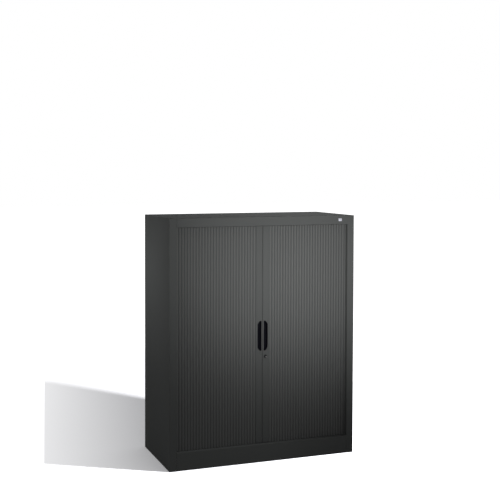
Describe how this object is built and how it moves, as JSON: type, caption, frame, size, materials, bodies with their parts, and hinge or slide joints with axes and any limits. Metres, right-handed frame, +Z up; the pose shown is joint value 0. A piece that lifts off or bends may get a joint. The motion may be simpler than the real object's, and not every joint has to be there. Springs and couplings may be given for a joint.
{
  "type": "roller shutter sideboard",
  "caption": "Free-standing steel cupboard with ribbed shutters that slide sideways into its side walls, recessed finger pulls, a cam lock, shelves and levelling feet.",
  "frame": {"origin": "middle of the footprint on the floor", "axes": "+Z up, -Y towards the front with the shutters, +X towards the right of someone facing it"},
  "size_m": [1, 0.42, 1.23],
  "materials": {
    "carcass_paint": "satin",
    "shutter_slats": "satin",
    "shutter_strip": "satin",
    "track_plastic": "matte",
    "black_moulding": "satin",
    "lock_collar": "satin",
    "nickel": "gloss",
    "zinc": "satin"
  },
  "bodies": {
    "cabinet": {"top_panel": "carcass_paint", "ceiling_panel": "carcass_paint", "floor_panel": "carcass_paint", "plinth_front": "carcass_paint", "plinth_rear": "carcass_paint", "back_panel": "carcass_paint", "left_side_panel": "carcass_paint", "left_lining": "carcass_paint", "left_front_upright": "carcass_paint", "left_rear_upright": "carcass_paint", "lower_left_track": "track_plastic", "upper_left_track": "track_plastic", "right_side_panel": "carcass_paint", "right_lining": "carcass_paint", "right_front_upright": "carcass_paint", "right_rear_upright": "carcass_paint", "lower_right_track": "track_plastic", "upper_right_track": "track_plastic", "lower_shelf": "carcass_paint", "lower_left_front_clip": "zinc", "lower_left_rear_clip": "zinc", "lower_right_front_clip": "zinc", "lower_right_rear_clip": "zinc", "upper_shelf": "carcass_paint", "upper_left_front_clip": "zinc", "upper_left_rear_clip": "zinc", "upper_right_front_clip": "zinc", "upper_right_rear_clip": "zinc", "front_left_foot_bracket": "zinc", "front_left_access_plug": "black_moulding", "front_right_foot_bracket": "zinc", "front_right_access_plug": "black_moulding", "rear_left_foot_bracket": "zinc", "rear_left_access_plug": "black_moulding", "rear_right_foot_bracket": "zinc", "rear_right_access_plug": "black_moulding"},
    "left_shutter": {"left_curtain": "shutter_slats", "left_stile": "shutter_strip", "left_handle_cup": "black_moulding", "left_upper_glide": "black_moulding", "left_lower_glide": "black_moulding", "strike_plate": "zinc"},
    "right_shutter": {"right_curtain": "shutter_slats", "right_stile": "shutter_strip", "right_handle_cup": "black_moulding", "right_upper_glide": "black_moulding", "right_lower_glide": "black_moulding", "lock_collar": "lock_collar", "lock_nut": "zinc"},
    "lock": {"lock_plug": "nickel", "lock_cam": "zinc", "cam_screw": "zinc"},
    "front_left_leveller": {"front_left_foot": "zinc"},
    "front_right_leveller": {"front_right_foot": "zinc"},
    "rear_left_leveller": {"rear_left_foot": "zinc"},
    "rear_right_leveller": {"rear_right_foot": "zinc"}
  },
  "joints": [
    {"name": "left_shutter_slide", "type": "slide", "parent": "cabinet", "child": "left_shutter", "axis": [-1, 0, 0], "range_m": [0, 0.425], "deforming": ["left_curtain"]},
    {"name": "right_shutter_slide", "type": "slide", "parent": "cabinet", "child": "right_shutter", "axis": [1, 0, 0], "range_m": [0, 0.425], "deforming": ["right_curtain"]},
    {"name": "lock_turn", "type": "hinge", "parent": "right_shutter", "child": "lock", "pos_m": [0.016, -0.162, 0.526], "axis": [0, -1, 0], "range_deg": [0, 90]},
    {"name": "front_left_foot_height", "type": "slide", "parent": "cabinet", "child": "front_left_leveller", "axis": [0, 0, -1], "range_m": [0, 0.012]},
    {"name": "front_right_foot_height", "type": "slide", "parent": "cabinet", "child": "front_right_leveller", "axis": [0, 0, -1], "range_m": [0, 0.012]},
    {"name": "rear_left_foot_height", "type": "slide", "parent": "cabinet", "child": "rear_left_leveller", "axis": [0, 0, -1], "range_m": [0, 0.012]},
    {"name": "rear_right_foot_height", "type": "slide", "parent": "cabinet", "child": "rear_right_leveller", "axis": [0, 0, -1], "range_m": [0, 0.012]}
  ]
}
